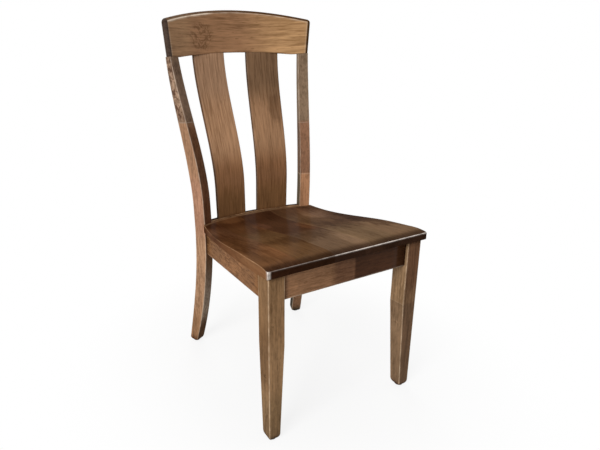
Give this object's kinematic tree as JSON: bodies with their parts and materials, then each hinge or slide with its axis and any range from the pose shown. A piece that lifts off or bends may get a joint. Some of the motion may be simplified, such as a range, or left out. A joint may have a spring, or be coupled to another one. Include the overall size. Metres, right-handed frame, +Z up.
{
  "type": "side chair",
  "caption": "Hardwood side chair with a scooped plank seat, two bent back slats, a bowed crest rail and legs that taper or sweep back.",
  "frame": {"origin": "on the floor, under the middle of the chair's bounding box", "axes": "+Z up, -Y the way the chair faces, +X to the right as seen by someone in front of the chair"},
  "size_m": [0.4932, 0.561, 1.0459],
  "materials": {
    "back_wood": "satin",
    "leg_wood": "satin",
    "seat_wood": "satin",
    "rail_wood": "satin",
    "block_wood": "raw",
    "screw_steel": "satin",
    "glide_plastic": "matte"
  },
  "bodies": {
    "root": {"crest_rail": "back_wood", "back_slat_left": "back_wood", "back_slat_right": "back_wood", "back_post_left": "leg_wood", "back_post_right": "leg_wood", "seat_board_1": "seat_wood", "seat_board_2": "seat_wood", "seat_board_3": "seat_wood", "seat_board_4": "seat_wood", "seat_board_5": "seat_wood", "front_leg_left": "leg_wood", "front_leg_right": "leg_wood", "front_rail": "rail_wood", "side_rail_left": "rail_wood", "side_rail_right": "rail_wood", "rear_rail": "rail_wood", "corner_block_front_left": "block_wood", "corner_block_front_right": "block_wood", "corner_block_rear_left": "block_wood", "corner_block_rear_right": "block_wood", "glide_front_left": "glide_plastic", "glide_front_right": "glide_plastic", "glide_rear_left": "glide_plastic", "glide_rear_right": "glide_plastic", "block_screws": "screw_steel", "seat_screws": "screw_steel", "glide_nails": "screw_steel"}
  },
  "joints": []
}
